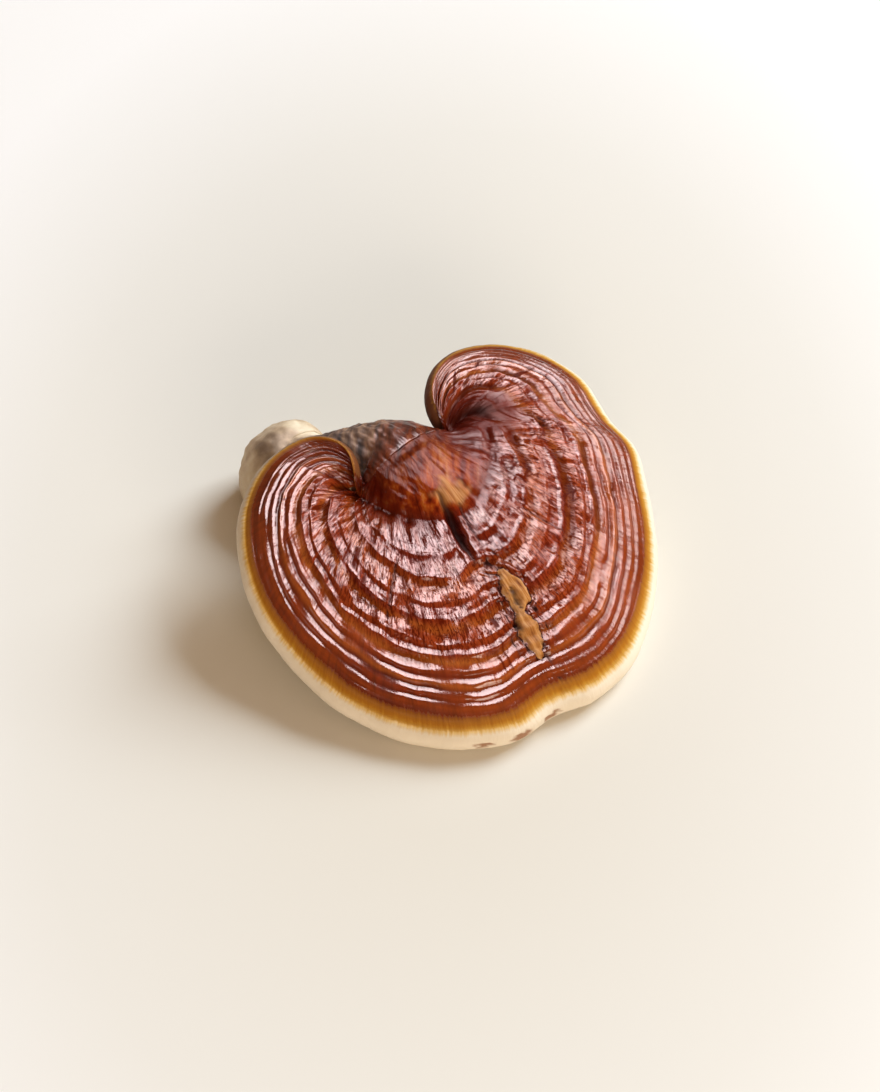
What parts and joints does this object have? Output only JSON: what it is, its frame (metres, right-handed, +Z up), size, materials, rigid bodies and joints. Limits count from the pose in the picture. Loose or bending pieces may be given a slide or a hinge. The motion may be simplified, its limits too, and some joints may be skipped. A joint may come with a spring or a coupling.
{
  "type": "reishi mushroom",
  "caption": "Kidney-shaped lacquered bracket mushroom with ringed cap, blunt pale rim and short side stem, lying on its rim and cut stem foot.",
  "frame": {"origin": "on the surface that the mushroom rests on, under the middle of its bounding box", "axes": "+Z up; +X towards the cap's right edge; +Y towards the back, where the stem leaves the cap; -Y towards the cap's front edge"},
  "size_m": [0.1224, 0.128, 0.0412],
  "materials": {
    "lacquered_cap": "varnished mahogany-red crust with darker growth rings, ochre band and cream rim; matt cream pore surface underneath",
    "stem_crust": "satin red-brown crust at the neck, grey-brown and fibrous behind it, matt pale cream foot"
  },
  "bodies": {
    "root": {"cap": "lacquered_cap", "stem": "stem_crust"}
  },
  "joints": []
}
